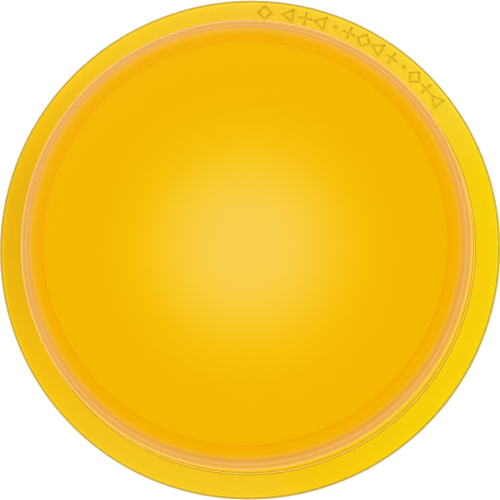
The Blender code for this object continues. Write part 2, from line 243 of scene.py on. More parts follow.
def block(name, size, centre, turn=0.0, edge=0.0):
    """A block at its size and place, turned about Z, with its edges rounded."""
    select_none()
    bpy.ops.mesh.primitive_cube_add(size=1.0)
    piece = bpy.context.object
    piece.name = name
    piece.scale = size
    bpy.ops.object.transform_apply(location=False, rotation=False, scale=True)
    if edge:
        bpy.ops.object.mode_set(mode="EDIT")
        bpy.ops.mesh.select_all(action="SELECT")
        bpy.ops.mesh.bevel(offset=edge, segments=2)
        bpy.ops.object.mode_set(mode="OBJECT")
    return settle(piece, centre, turn)


def settle(piece, centre, turn=0.0):
    """Turns a piece about Z, moves it into place, and keeps that place in its mesh."""
    take(piece)
    piece.matrix_world = Matrix.Translation(centre) @ Matrix.Rotation(turn, 4, "Z")
    bpy.ops.object.transform_apply(location=True, rotation=True, scale=True)
    return piece


def cut(piece, tool, operation="DIFFERENCE"):
    """Cuts a tool out of a piece, or joins it on, and removes the tool."""
    take(piece)
    step = piece.modifiers.new("cut", "BOOLEAN")
    step.operation = operation
    step.object = tool
    bpy.ops.object.modifier_apply(modifier=step.name)
    bpy.data.objects.remove(tool, do_unlink=True)


def smooth(piece, degrees=35.0):
    """Smooth shading, broken at edges sharper than an angle."""
    take(piece)
    bpy.ops.object.shade_smooth_by_angle(angle=math.radians(degrees))
    weigh = piece.modifiers.new("weigh", "WEIGHTED_NORMAL")
    weigh.keep_sharp = True
    bpy.ops.object.modifier_apply(modifier=weigh.name)


def fit(piece, node, slot_name, *materials):
    """Gives a finished piece its materials and its place in the frame."""
    for material in materials:
        if material.name not in piece.data.materials:
            piece.data.materials.append(material)
    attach(piece, "root")
    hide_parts(node)


def new_group(name, inputs):
    """A shader node group with named inputs; Colour, Roughness and Height come out of it."""
    group = bpy.data.node_groups.new(name, "ShaderNodeTree")
    for label, kind, value in inputs:
        socket = group.interface.new_socket(name=label, in_out="INPUT", socket_type=kind)
        socket.default_value = value
    for label, kind in (("Colour", "NodeSocketColor"), ("Roughness", "NodeSocketFloat"),
                        ("Height", "NodeSocketFloat")):
        group.interface.new_socket(name=label, in_out="OUTPUT", socket_type=kind)
    return group, group.nodes.new("NodeGroupInput"), group.nodes.new("NodeGroupOutput")


def sum_node(tree, operation, first, second=None, third=None):
    """A Math node; its inputs are sockets or numbers."""
    node = tree.nodes.new("ShaderNodeMath")
    node.operation = operation
    for socket, value in zip(node.inputs, (first, second, third)):
        if isinstance(value, bpy.types.NodeSocket):
            tree.links.new(value, socket)
        elif value is not None:
            socket.default_value = value
    return node.outputs[0]


def noise(tree, scale, detail=3.0):
    """A noise over the piece's own coordinates."""
    place = tree.nodes.new("ShaderNodeTexCoord")
    node = tree.nodes.new("ShaderNodeTexNoise")
    node.inputs["Detail"].default_value = detail
    tree.links.new(place.outputs["Object"], node.inputs["Vector"])
    if isinstance(scale, bpy.types.NodeSocket):
        tree.links.new(scale, node.inputs["Scale"])
    else:
        node.inputs["Scale"].default_value = scale
    return node.outputs["Fac"]


def tint(tree, colour, factor):
    """A colour scaled by a factor."""
    node = tree.nodes.new("ShaderNodeVectorMath")
    node.operation = "SCALE"
    tree.links.new(colour, node.inputs[0])
    tree.links.new(factor, node.inputs["Scale"])
    return node.outputs[0]


moulded, given, result = new_group("moulded_surface", [
    ("Colour", "NodeSocketColor", (0.8, 0.8, 0.8, 1.0)), ("Roughness", "NodeSocketFloat", 0.4),
    ("Grain per metre", "NodeSocketFloat", 3000.0), ("Mottle", "NodeSocketFloat", 0.04),
    ("Unevenness", "NodeSocketFloat", 0.15)])
grain = noise(moulded, given.outputs["Grain per metre"])
patches = noise(moulded, sum_node(moulded, "MULTIPLY", given.outputs["Grain per metre"], 0.05))
uneven = sum_node(moulded, "SUBTRACT", patches, 0.5)
moulded.links.new(tint(moulded, given.outputs["Colour"],
                       sum_node(moulded, "MULTIPLY_ADD", uneven, given.outputs["Mottle"], 1.0)),
                  result.inputs["Colour"])
moulded.links.new(sum_node(moulded, "MULTIPLY_ADD", uneven, given.outputs["Unevenness"],
                           given.outputs["Roughness"]), result.inputs["Roughness"])
moulded.links.new(grain, result.inputs["Height"])


def dressed(name, group, colour, roughness, relief, metallic=0.0, **values):
    """A material whose colour, roughness and relief, in metres, come from a surface group."""
    material, shader, tree = plain_material(name, colour, roughness, metallic)
    surface = tree.nodes.new("ShaderNodeGroup")
    surface.node_tree = group
    surface.name = "surface"
    surface.inputs["Colour"].default_value = (*colour, 1.0)
    surface.inputs["Roughness"].default_value = roughness
    for label, value in values.items():
        surface.inputs[label.replace("_", " ")].default_value = value
    tree.links.new(surface.outputs["Colour"], shader.inputs["Base Color"])
    tree.links.new(surface.outputs["Roughness"], shader.inputs["Roughness"])
    bump = tree.nodes.new("ShaderNodeBump")
    bump.inputs["Strength"].default_value = 1.0
    bump.inputs["Distance"].default_value = relief
    tree.links.new(surface.outputs["Height"], bump.inputs["Height"])
    tree.links.new(bump.outputs["Normal"], shader.inputs["Normal"])
    return material


housing_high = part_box("base_housing")[1]
rim_r = housing_high[0]
rim_z = housing_high[2]
draft = 0.0005
housing_foot_r = rim_r - draft
pockets = [(0.0135, 0.0270), (0.0290, 0.0435)]
pocket_depth = 0.0010
hub_pocket_r = 0.0090
hub_pocket_top = 0.0040
cable_hole_r = 0.0035
hub_r = 0.0120
hub_top = 0.0060
tray_floor = 0.0025
cavity_r = 0.0420
rebate_r = 0.0440
rebate_depth = 0.0030
ledge_z = rim_z - rebate_depth
outline = [(rim_r, rim_z), (housing_foot_r, 0.0)]
for pocket_in, pocket_out in reversed(pockets):
    outline += [(pocket_out, 0.0), (pocket_out, pocket_depth),
                (pocket_in, pocket_depth), (pocket_in, 0.0)]
outline += [(hub_pocket_r, 0.0), (hub_pocket_r, hub_pocket_top), (cable_hole_r, hub_pocket_top),
            (cable_hole_r, hub_top), (hub_r, hub_top), (hub_r + draft, tray_floor),
            (cavity_r - draft, tray_floor), (cavity_r, ledge_z), (rebate_r, ledge_z),
            (rebate_r, rim_z)]
housing = turn_rings("housing", outline, 192)
round_ring(housing, rim_r, rim_z, 0.0004, 4)
round_ring(housing, housing_foot_r, 0.0, 0.0005, 4)
for pocket_in, pocket_out in pockets:
    for ring_r in (pocket_in, pocket_out):
        round_ring(housing, ring_r, 0.0, 0.0002, 2)
        round_ring(housing, ring_r, pocket_depth, 0.0003, 2)
round_ring(housing, hub_pocket_r, 0.0, 0.0003, 3)
round_ring(housing, hub_r, hub_top, 0.0005, 3)
round_ring(housing, hub_r + draft, tray_floor, 0.0008, 3)
round_ring(housing, cavity_r - draft, tray_floor, 0.0010, 3)

rib_w = 0.0020
rib_overlap = 0.0010
rib_in = pockets[0][0] - rib_overlap
rib_out = pockets[-1][1] + rib_overlap
rib_h = pocket_depth + 0.0005
rib_middle = (rib_in + rib_out) / 2
for i in range(6):
    angle = math.radians(15 + 60 * i)
    rib = block("rib", (rib_out - rib_in, rib_w, rib_h),
                (rib_middle * math.cos(angle), rib_middle * math.sin(angle), rib_h / 2), angle)
    cut(housing, rib, "UNION")

pin_mark_r = 0.0014
pin_mark_top = pocket_depth + 0.0002
pin_mark_low = pocket_depth / 2
for pin_circle in (0.0202, 0.0362):
    for i in range(6):
        angle = math.radians(45 + 60 * i)
        pin_mark = turn_rings("pin_mark", [(0.0, pin_mark_top), (pin_mark_r, pin_mark_top),
                                           (pin_mark_r, pin_mark_low), (0.0, pin_mark_low)], 32)
        cut(housing, settle(pin_mark, (pin_circle * math.cos(angle),
                                       pin_circle * math.sin(angle), 0.0)))


def middle(node):
    """The middle of a node in plan, and its lowest and highest level."""
    low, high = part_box(node)
    return (low[0] + high[0]) / 2, (low[1] + high[1]) / 2, low[2], high[2]


overrun = 0.001
boss_r = 0.0036
boss_top = 0.0074
boss_root = tray_floor - 0.0003
insert_hole_r = 0.0025
insert_floor = 0.0028
for i in range(4):
    x, y, low, high = middle(f"threaded_insert_{i + 1}")
    boss = turn_rings("boss", [(0.0, boss_top), (boss_r, boss_top),
                               (boss_r, boss_root), (0.0, boss_root)], 48)
    round_ring(boss, boss_r, boss_top, 0.0002, 2)
    cut(housing, settle(boss, (x, y, 0.0)), "UNION")
    hole = turn_rings("insert_hole", [(0.0, boss_top + overrun),
                                      (insert_hole_r, boss_top + overrun),
                                      (insert_hole_r, insert_floor), (0.0, insert_floor)], 48)
    cut(housing, settle(hole, (x, y, 0.0)))
smooth(housing)
pale_grey = dressed("pale_grey_polycarbonate", moulded, (0.47, 0.47, 0.46), 0.45, 0.00002,
                    Grain_per_metre=4200.0, Mottle=0.05, Unevenness=0.2)
fit(housing, "base_housing", "white_housing", pale_grey)

# ---------------------------------------------------------------------------
# Cable gland: a rubber seal, a pressed steel washer and a slotted nylon nut in the hub's pocket.
# The nut squeezes the seal round the cable, and comes flush with the underside.

x, y, seal_z, seal_top = middle("gland_seal")
seal_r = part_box("gland_seal")[1][0]
seal_bore = 0.0031
groove_out = 0.0063
groove_in = 0.0045
lip = 0.0003
seal = turn_rings("seal_ring", [
    (seal_r, seal_top), (seal_r, seal_z), (groove_out, seal_z), (groove_out - lip, seal_z + lip),
    (groove_in + lip, seal_z + lip), (groove_in, seal_z), (seal_bore, seal_z),
    (seal_bore + lip, (seal_z + seal_top) / 2), (seal_bore, seal_top), (groove_in, seal_top),
    (groove_in + lip, seal_top - lip), (groove_out - lip, seal_top - lip),
    (groove_out, seal_top)], 96)
for level in (seal_z, seal_top):
    round_ring(seal, seal_r, level, 0.0002, 2)
smooth(seal)
rubber = dressed("black_rubber", moulded, (0.022, 0.022, 0.023), 0.62, 0.00001,
                 Grain_per_metre=9000.0, Mottle=0.3, Unevenness=0.2)
fit(seal, "gland_seal", "gland_rubber", rubber)

turned, given, result = new_group("turned_surface", [
    ("Colour", "NodeSocketColor", (0.6, 0.6, 0.6, 1.0)), ("Roughness", "NodeSocketFloat", 0.3),
    ("Centre", "NodeSocketVector", (0.0, 0.0, 0.0)),
    ("Rings per metre", "NodeSocketFloat", 12000.0)])
place = turned.nodes.new("ShaderNodeTexCoord").outputs["Object"]
for operation, other in (("ABSOLUTE", None), ("SUBTRACT", given.outputs["Centre"]),
                         ("MULTIPLY", (1.0, 1.0, 0.0)), ("LENGTH", None)):
    step = turned.nodes.new("ShaderNodeVectorMath")
    step.operation = operation
    turned.links.new(place, step.inputs[0])
    if isinstance(other, bpy.types.NodeSocket):
        turned.links.new(other, step.inputs[1])
    elif other:
        step.inputs[1].default_value = other
    place = step.outputs["Value" if operation == "LENGTH" else "Vector"]
waves = sum_node(turned, "SINE", sum_node(turned, "MULTIPLY", place,
                                          given.outputs["Rings per metre"]))
stains = noise(turned, 1500.0)
turned.links.new(tint(turned, given.outputs["Colour"],
                      sum_node(turned, "MULTIPLY_ADD", stains, 0.16, 0.92)),
                 result.inputs["Colour"])
turned.links.new(sum_node(turned, "MULTIPLY_ADD", stains, 0.2,
                          sum_node(turned, "SUBTRACT", given.outputs["Roughness"], 0.1)),
                 result.inputs["Roughness"])
turned.links.new(sum_node(turned, "MULTIPLY_ADD", waves, 0.5, stains), result.inputs["Height"])

x, y, washer_z, washer_top = middle("gland_washer")
washer_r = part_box("gland_washer")[1][0]
washer_bore = 0.0034
washer = turn_rings("washer_disc", [(washer_r, washer_top), (washer_r, washer_z),
                                    (washer_bore, washer_z), (washer_bore, washer_top)], 96)
for ring_r, level in ((washer_r, washer_z), (washer_r, washer_top), (washer_bore, washer_z)):
    round_ring(washer, ring_r, level, 0.00012, 2)
smooth(washer)
washer_steel = dressed("pressed_steel", turned, (0.60, 0.60, 0.59), 0.32, 0.000002, 1.0)
fit(washer, "gland_washer", "screw_steel", washer_steel)

x, y, nut_z, nut_top = middle("gland_nut")
nut_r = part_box("gland_nut")[1][0]
nut_bore = 0.0034
nut_mouth = 0.0004
slot_size = (0.0200, 0.0018, 0.0016)
nut = turn_rings("slotted_nut", [(nut_r, nut_top), (nut_r, nut_z), (nut_bore + nut_mouth, nut_z),
                                 (nut_bore, nut_z + nut_mouth), (nut_bore, nut_top)], 128)
round_ring(nut, nut_r, nut_z, 0.0003, 3)
for i in range(2):
    cut(nut, block("slot_cut", slot_size, (0.0, 0.0, nut_z), math.radians(90 * i), 0.0001))
smooth(nut)
nylon = dressed("glass_filled_nylon", moulded, (0.030, 0.030, 0.031), 0.48, 0.00001,
                Grain_per_metre=7000.0, Mottle=0.35, Unevenness=0.25)
fit(nut, "gland_nut", "gland_nylon", nylon)

# ---------------------------------------------------------------------------
# Threaded inserts: four knurled brass sleeves, turned from bar and set into the housing's bosses
# with heat. They take the screws that clamp the board.

insert_r = 0.0022
insert_bore = 0.0015
insert_edge = 0.0001
waist = 0.0003
knurls = 24
knurl_share = 0.94
thread_depth = 0.00015
thread_pitch = 0.00045
x, y, insert_z, insert_top = middle("threaded_insert_1")
waist_z = (insert_z + insert_top) / 2
outline = [(insert_r - insert_edge, insert_top), (insert_r, insert_top - insert_edge),
           (insert_r, waist_z + waist), (insert_r - waist, waist_z),
           (insert_r, waist_z - waist), (insert_r, insert_z + insert_edge),
           (insert_r - insert_edge, insert_z)]
level = insert_z
while level + thread_pitch < insert_top:
    outline += [(insert_bore, level), (insert_bore - thread_depth, level + thread_pitch / 2)]
    level += thread_pitch
outline += [(insert_bore, level), (insert_bore, insert_top)]
insert_model = turn_rings("insert_model", outline, 2 * knurls)
take(insert_model)
for part in (insert_model.data.vertices, insert_model.data.edges, insert_model.data.polygons):
    for item in part:
        item.select = False
for vertex in insert_model.data.vertices:
    column = round(math.atan2(vertex.co.y, vertex.co.x) / math.pi * knurls)
    vertex.select = math.hypot(vertex.co.x, vertex.co.y) > insert_r - near and column % 2 == 1
bpy.ops.object.mode_set(mode="EDIT")
bpy.ops.mesh.select_mode(type="VERT")
bpy.ops.transform.resize(value=(knurl_share, knurl_share, 1.0), center_override=(0.0, 0.0, 0.0))
bpy.ops.object.mode_set(mode="OBJECT")
smooth(insert_model, 25.0)


def copy_to(model, name, centre, turn=0.0):
    """A copy of a piece with its own mesh, turned about its own axis and moved into place."""
    piece = model.copy()
    piece.data = model.data.copy()
    piece.name = name
    bpy.context.scene.collection.objects.link(piece)
    return settle(piece, centre, turn)


brass = dressed("turned_brass", turned, (0.78, 0.57, 0.24), 0.30, 0.000002, 1.0,
                Centre=(abs(x), abs(y), 0.0))
for i in range(4):
    x, y, low, high = middle(f"threaded_insert_{i + 1}")
    insert = copy_to(insert_model, f"insert_{i + 1}", (x, y, 0.0), math.atan2(y, x))
    fit(insert, f"threaded_insert_{i + 1}", "brass", brass)
bpy.data.objects.remove(insert_model, do_unlink=True)

# ---------------------------------------------------------------------------
# Circuit board: a 1.6 mm disc of glass and epoxy, with white solder mask on both faces. The mask
# follows copper tracks that run round the rings of LEDs. It has four clearance holes, and a notch
# that keys it in the housing.

x, y, board_z, board_top = middle("led_board")
board_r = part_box("led_board")[1][1]
board = turn_rings("circuit_board", [(0.0, board_top), (board_r, board_top), (board_r, board_z),
                                     (0.0, board_z)], 192)
drill_r = 0.0016
notch_r = 0.0020


def drill(piece, radius, x, y, low, high):
    """Drills a round hole through a piece."""
    bit = turn_rings("bit", [(0.0, high + overrun), (radius, high + overrun),
                             (radius, low - overrun), (0.0, low - overrun)], 40)
    cut(piece, settle(bit, (x, y, 0.0)))


for i in range(4):
    x, y, low, high = middle(f"board_screw_{i + 1}")
    drill(board, drill_r, x, y, board_z, board_top)
drill(board, notch_r, board_r, 0.0, board_z, board_top)
smooth(board)
mask_white = dressed("white_solder_mask", turned, (0.80, 0.81, 0.79), 0.28, 0.00002,
                     Rings_per_metre=1400.0)
laminate = dressed("glass_epoxy", moulded, (0.55, 0.50, 0.28), 0.55, 0.00002,
                   Grain_per_metre=5000.0, Mottle=0.3)
board.data.materials.append(mask_white)
board.data.materials.append(laminate)
for face in board.data.polygons:
    face.material_index = 0 if abs(face.normal.z) > 0.7 else 1
fit(board, "led_board", "board")

# ---------------------------------------------------------------------------
# Driver parts, soldered under the board: the rectifier and the LED driver are black moulded chips
# with tinned leads that reach up to the board.


def join(piece, *others):
    """Joins separate shells of one part into one piece."""
    take(piece)
    for other in others:
        other.select_set(True)
    bpy.ops.object.join()
    return piece


epoxy = dressed("moulded_epoxy", moulded, (0.020, 0.020, 0.021), 0.50, 0.00001,
                Grain_per_metre=12000.0, Mottle=0.4)
tin = dressed("tinned_lead", moulded, (0.72, 0.71, 0.69), 0.30, 0.000004, 1.0,
              Grain_per_metre=9000.0, Mottle=0.15)
chips = [("bridge_rectifier", (0.0065, 0.0052, 0.0025), 2, 90.0),
         ("led_driver", (0.0050, 0.0039, 0.0016), 4, 0.0)]
dimple_r = 0.0003
dimple_depth = 0.0001
dimple_inset = 0.0008
lead_w = 0.0006
lead_t = 0.0004
lead_reach = 0.0010
for node, chip_size, pins, turn in chips:
    x, y, low, high = middle(node)
    length, width, height = chip_size
    turn = math.radians(turn)
    body = block(node + "_body", chip_size, (0.0, 0.0, high - height / 2), 0.0, 0.0002)
    dimple = turn_rings("dimple", [(0.0, low + dimple_depth), (dimple_r, low + dimple_depth),
                                   (dimple_r, low - overrun), (0.0, low - overrun)], 24)
    cut(body, settle(dimple, (dimple_inset - length / 2, dimple_inset - width / 2, 0.0)))
    body.data.materials.append(epoxy)
    leads = []
    for i in range(pins):
        along = (i + 0.5) * length / pins - length / 2
        lead = block("lead", (lead_w, width + 2 * lead_reach, lead_t), (along, 0.0, high - lead_t),
                     0.0, 0.0001)
        lead.data.materials.append(tin)
        leads.append(lead)
    smooth(join(body, *leads))
    fit(settle(body, (x, y, 0.0), turn), node, "chip_epoxy")

# ---------------------------------------------------------------------------
# Power inductor: a square block of sintered ferrite, with the copper winding showing in the round
# well of its free side.

inductor_size = 0.0070
well_out = 0.0029
well_in = 0.0017
well_depth = 0.0006
winding_gap = 0.0001
winding_low = 0.0003
x, y, low, high = middle("power_inductor")
inductor = block("inductor_core", (inductor_size, inductor_size, high - low),
                 (0.0, 0.0, (low + high) / 2), 0.0, 0.0004)
well = turn_rings("well", [(well_out, low + well_depth), (well_out, low - overrun),
                           (well_in, low - overrun), (well_in, low + well_depth)], 64)
cut(inductor, well)
ferrite = dressed("sintered_ferrite", moulded, (0.045, 0.044, 0.044), 0.60, 0.00002,
                  Grain_per_metre=8000.0, Mottle=0.4)
copper = dressed("enamelled_copper", turned, (0.65, 0.28, 0.12), 0.28, 0.00001, 1.0,
                 Centre=(x, y, 0.0), Rings_per_metre=30000.0)
inductor.data.materials.append(ferrite)
winding_r = (well_out - winding_gap, well_in + winding_gap)
winding = turn_rings("winding", [(winding_r[0], low + well_depth + winding_gap),
                                 (winding_r[0], low + winding_low),
                                 (winding_r[1], low + winding_low),
                                 (winding_r[1], low + well_depth + winding_gap)], 64)
winding.data.materials.append(copper)
smooth(join(inductor, winding))
fit(settle(inductor, (x, y, 0.0), math.radians(35.0)), "power_inductor", "ferrite")

# ---------------------------------------------------------------------------
# Electrolytic capacitors: drawn aluminium cans with a rolled groove, each on a square seat of
# black plastic, hanging from the board.

can_r = 0.0030
seat_size = 0.0066
seat_h = 0.0008
groove = 0.0002
groove_half = 0.0003
groove_drop = 0.0008
vent_size = (0.0032, 0.00016, 0.0002)
aluminium = dressed("drawn_aluminium", moulded, (0.78, 0.78, 0.79), 0.26, 0.000003, 1.0,
                    Grain_per_metre=3000.0, Mottle=0.08)
seat_plastic = dressed("seat_plastic", moulded, (0.030, 0.030, 0.030), 0.50, 0.00001,
                       Grain_per_metre=9000.0, Mottle=0.3)
for node, turn in (("input_capacitor", 30.0), ("output_capacitor", -20.0)):
    x, y, low, high = middle(node)
    seat_z = high - seat_h
    groove_z = seat_z - groove_drop
    can = turn_rings(node + "_can", [
        (0.0, seat_z + groove), (can_r, seat_z + groove), (can_r, groove_z + groove_half),
        (can_r - groove, groove_z), (can_r, groove_z - groove_half), (can_r, low + groove),
        (can_r - groove, low), (0.0, low)], 64)
    for i in range(2):
        cut(can, block("vent", vent_size, (0.0, 0.0, low), math.radians(90 * i)))
    can.data.materials.append(aluminium)
    seat = block("seat", (seat_size, seat_size, seat_h), (0.0, 0.0, seat_z + seat_h / 2),
                 0.0, 0.0002)
    seat.data.materials.append(seat_plastic)
    smooth(join(can, seat))
    fit(settle(can, (x, y, 0.0), math.radians(turn)), node, "capacitor_can")

# ---------------------------------------------------------------------------
# Fuse and surge varistor: fired ceramic bodies with plated metal caps pressed on their ends.

ceramic = dressed("fired_ceramic", moulded, (0.66, 0.62, 0.52), 0.38, 0.00001,
                  Grain_per_metre=6000.0, Mottle=0.15)
cap_rise = 0.0001
capped = [("fuse", 0.0060, 0.0024, 0.0022, 0.0), ("surge_varistor", 0.0078, 0.0058, 0.0020, 50.0)]
for node, length, width, height, turn in capped:
    x, y, low, high = middle(node)
    level = (low + high) / 2
    body = block(node + "_body", (length, width, height), (0.0, 0.0, level), 0.0, 0.00015)
    body.data.materials.append(ceramic)
    cap_l = length / 6
    caps = []
    for side in (-1, 1):
        cap = block("cap", (cap_l, width + 2 * cap_rise, height + 2 * cap_rise),
                    (side * (length / 2 - cap_l / 2 + cap_rise), 0.0, level), 0.0, 0.0001)
        cap.data.materials.append(tin)
        caps.append(cap)
    smooth(join(body, *caps))
    fit(settle(body, (x, y, 0.0), math.radians(turn)), node, "ceramic_body")

# ---------------------------------------------------------------------------
# Terminal block: a two-pole push-in block of pale nylon. Its wire mouths face the cable hole, and
# each pole has a release slot on the free side.

terminal_l = 0.0080
terminal_w = 0.0100
terminal_h = 0.0042
pole_pitch = 0.0045
mouth = 0.0022
mouth_depth = 0.0055
release_size = (0.0024, 0.0012, 0.0010)
release_x = 0.0018
x, y, low, high = middle("terminal_block")
level = high - terminal_h / 2
terminal = block("terminal_body", (terminal_l, terminal_w, terminal_h), (0.0, 0.0, level),
                 0.0, 0.0004)
for side in (-1, 1):
    across = side * pole_pitch / 2
    cut(terminal, block("mouth", (mouth_depth, mouth, mouth),
                        (mouth_depth / 2 - terminal_l / 2 - overrun, across, level), 0.0, 0.0002))
    cut(terminal, block("release", release_size, (release_x, across, low), 0.0, 0.0001))
smooth(terminal)
terminal_nylon = dressed("pale_nylon", moulded, (0.60, 0.60, 0.57), 0.45, 0.00001,
                         Grain_per_metre=5000.0, Mottle=0.08)
fit(settle(terminal, (x, y, 0.0), math.atan2(y, x)), "terminal_block", "terminal_nylon",
    terminal_nylon)

# ---------------------------------------------------------------------------
# LEDs: nineteen surface-mount packages, one in the middle and rings of six and twelve. Each is a
# white moulded cup filled with yellow phosphor gel, soldered to the board.

led_size = 0.0035
led_wall = 0.0005
led_cup = 0.0004
cup_taper = 0.86
led_edge = 0.0001
x, y, led_z, led_top = middle("led_01")
led_model = block("led_model", (led_size, led_size, led_top - led_z),
                  (0.0, 0.0, (led_z + led_top) / 2))
take(led_model)
for face in led_model.data.polygons:
    face.select = face.normal.z > 0.9
bpy.ops.object.mode_set(mode="EDIT")
bpy.ops.mesh.select_mode(type="FACE")
bpy.ops.mesh.inset(thickness=led_wall)
bpy.ops.mesh.extrude_region_move(TRANSFORM_OT_translate={"value": (0.0, 0.0, -led_cup)})
bpy.ops.transform.resize(value=(cup_taper, cup_taper, 1.0), center_override=(0.0, 0.0, led_top))
bpy.ops.object.mode_set(mode="OBJECT")
package = dressed("led_package", moulded, (0.86, 0.86, 0.83), 0.30, 0.000005,
                  Grain_per_metre=6000.0)
phosphor = dressed("phosphor_gel", moulded, (0.86, 0.66, 0.10), 0.16, 0.000008,
                   Grain_per_metre=2500.0, Mottle=0.12)
led_model.data.materials.append(package)
led_model.data.materials.append(phosphor)
for face in led_model.data.polygons:
    in_cup = face.normal.z > 0.9 and face.center.z < led_top - led_cup / 2
    face.material_index = 1 if in_cup else 0
edge_round = led_model.modifiers.new("edge", "BEVEL")
edge_round.width = led_edge
edge_round.segments = 2
take(led_model)
bpy.ops.object.modifier_apply(modifier=edge_round.name)
smooth(led_model)
led_nodes = sorted(name for name in nodes if name.startswith("led_") and name[4:].isdigit())
for node in led_nodes:
    x, y, low, high = middle(node)
    led = copy_to(led_model, node.replace("led", "light"), (x, y, 0.0), math.atan2(y, x))
    fit(led, node, "led_package")
bpy.data.objects.remove(led_model, do_unlink=True)

# ---------------------------------------------------------------------------
# Reflector: a glossy white tray, moulded thin, with a square window for each LED and a sloping
# wall whose rim carries the diffuser.

x, y, tray_z, tray_rim = middle("reflector")
tray_rim_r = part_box("reflector")[1][0]
tray_floor_r = 0.0372
tray_t = 0.0012
tray_wall = 0.0010
tray_lip = 0.0008
window_gap = 0.0010
reflector = turn_rings("reflector_tray", [
    (0.0, tray_z + tray_t), (tray_floor_r, tray_z + tray_t), (tray_rim_r - tray_wall, tray_rim),
    (tray_rim_r, tray_rim), (tray_rim_r, tray_rim - tray_lip), (tray_floor_r + tray_wall, tray_z),
    (0.0, tray_z)], 192)
round_ring(reflector, tray_floor_r, tray_z + tray_t, 0.0010, 4)
round_ring(reflector, tray_rim_r - tray_wall, tray_rim, 0.0003, 2)
window = led_size + window_gap
for node in led_nodes:
    x, y, low, high = middle(node)
    cut(reflector, block("window", (window, window, 3 * tray_t), (x, y, tray_z + tray_t / 2),
                         math.atan2(y, x), 0.0003))
for i in range(4):
    x, y, low, high = middle(f"board_screw_{i + 1}")
    drill(reflector, drill_r, x, y, tray_z, tray_z + tray_t)
smooth(reflector)
reflector_white = dressed("reflector_white", moulded, (0.90, 0.90, 0.89), 0.22, 0.000006,
                          Grain_per_metre=2500.0, Mottle=0.03)
fit(reflector, "reflector", "white_reflector", reflector_white)

# ---------------------------------------------------------------------------
# Board screws: four stainless pan-head screws with a hexagon socket. They clamp the reflector and
# the board down on to the inserts.

head_r = 0.0023
head_h = 0.0015
shank_r = 0.00125
thread_length = 0.0041
point = 0.0005
socket_r = 0.0010
socket_depth = 0.0009
x, y, screw_end, screw_top = middle("board_screw_1")
head_z = screw_top - head_h
outline = [(0.0, screw_top), (head_r - 0.0005, screw_top), (head_r - 0.00015, screw_top - 0.0002),
           (head_r, screw_top - 0.0006), (head_r, head_z), (shank_r, head_z),
           (shank_r, screw_end + thread_length + 0.0001)]
level = screw_end + thread_length
while level - thread_pitch > screw_end + 0.0003:
    outline += [(shank_r - thread_depth, level), (shank_r, level - thread_pitch / 2)]
    level -= thread_pitch
outline += [(shank_r - thread_depth, level), (shank_r - point, screw_end), (0.0, screw_end)]
screw_model = turn_rings("screw_model", outline, 48)
socket = turn_rings("socket", [(0.0, screw_top + overrun), (socket_r, screw_top + overrun),
                               (socket_r, screw_top - socket_depth),
                               (0.0, screw_top - socket_depth)], 6)
cut(screw_model, socket)
smooth(screw_model, 30.0)
stainless = dressed("stainless_steel", turned, (0.63, 0.62, 0.60), 0.27, 0.000002, 1.0,
                    Centre=(abs(x), abs(y), 0.0))
for i in range(4):
    x, y, low, high = middle(f"board_screw_{i + 1}")
    screw = copy_to(screw_model, f"screw_{i + 1}", (x, y, 0.0), math.radians(20 + 50 * i))
    fit(screw, f"board_screw_{i + 1}", "screw_steel", stainless)
bpy.data.objects.remove(screw_model, do_unlink=True)

# ---------------------------------------------------------------------------
# Diffuser: an opal polycarbonate disc that evens out the LEDs. It is moulded with a locating rib
# below and lies on the reflector's rim.

x, y, rib_z, diffuser_top = middle("diffuser")
diffuser_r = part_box("diffuser")[1][0]
diffuser_t = 0.0015
diffuser_z = diffuser_top - diffuser_t
locator_out = 0.0376
locator_in = 0.0364
diffuser_edge = 0.0003
outline = [(0.0, diffuser_top), (diffuser_r, diffuser_top), (diffuser_r, diffuser_z),
           (locator_out, diffuser_z), (locator_out, rib_z), (locator_in, rib_z),
           (locator_in, diffuser_z), (0.0, diffuser_z)]
diffuser = turn_rings("opal_diffuser", outline, 192)
round_ring(diffuser, diffuser_r, diffuser_top, diffuser_edge, 3)
smooth(diffuser)
opal = dressed("opal_polycarbonate", moulded, (0.92, 0.92, 0.90), 0.38, 0.000004,
               Grain_per_metre=3500.0, Mottle=0.03)
# The disc's rim takes a dark material, a painted shadow: the shade of the thin gap between the
# disc's edge and the lens's bore.
painted_edge_shadow = dressed("opal_cut_edge", moulded, (0.20, 0.19, 0.17), 0.55, 0.00001,
                   Grain_per_metre=6000.0, Mottle=0.1)
diffuser.data.materials.append(opal)
diffuser.data.materials.append(painted_edge_shadow)
for face in diffuser.data.polygons:
    on_edge = face.center.xy.length > diffuser_r - diffuser_edge + near
    face.material_index = 1 if on_edge else 0
fit(diffuser, "diffuser", "opal_diffuser")

# ---------------------------------------------------------------------------
# Sealant: a bead of cured silicone on the ledge inside the housing's rim. The lens's spigot sits on
# it, and it keeps the water out.

bead_low, bead_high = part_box("lens_sealant")
bead_in = 0.0423
bead = turn_rings("sealant_bead", [(bead_high[0], bead_high[2]), (bead_high[0], bead_low[2]),
                                   (bead_in, bead_low[2]), (bead_in, bead_high[2])], 192)
for ring_r in (bead_high[0], bead_in):
    round_ring(bead, ring_r, bead_high[2], 0.00015, 2)
smooth(bead, 60.0)
silicone = dressed("cured_silicone", moulded, (0.74, 0.74, 0.71), 0.30, 0.00003,
                   Grain_per_metre=900.0, Mottle=0.06)
fit(bead, "lens_sealant", "silicone", silicone)

# ---------------------------------------------------------------------------
# Lens: one amber polycarbonate moulding, slightly milky, polished outside. Its flange is bonded to
# the housing's rim, with a spigot below and a drafted, crowned cup above. Small mould marks are
# sunk into the flange over a short arc.

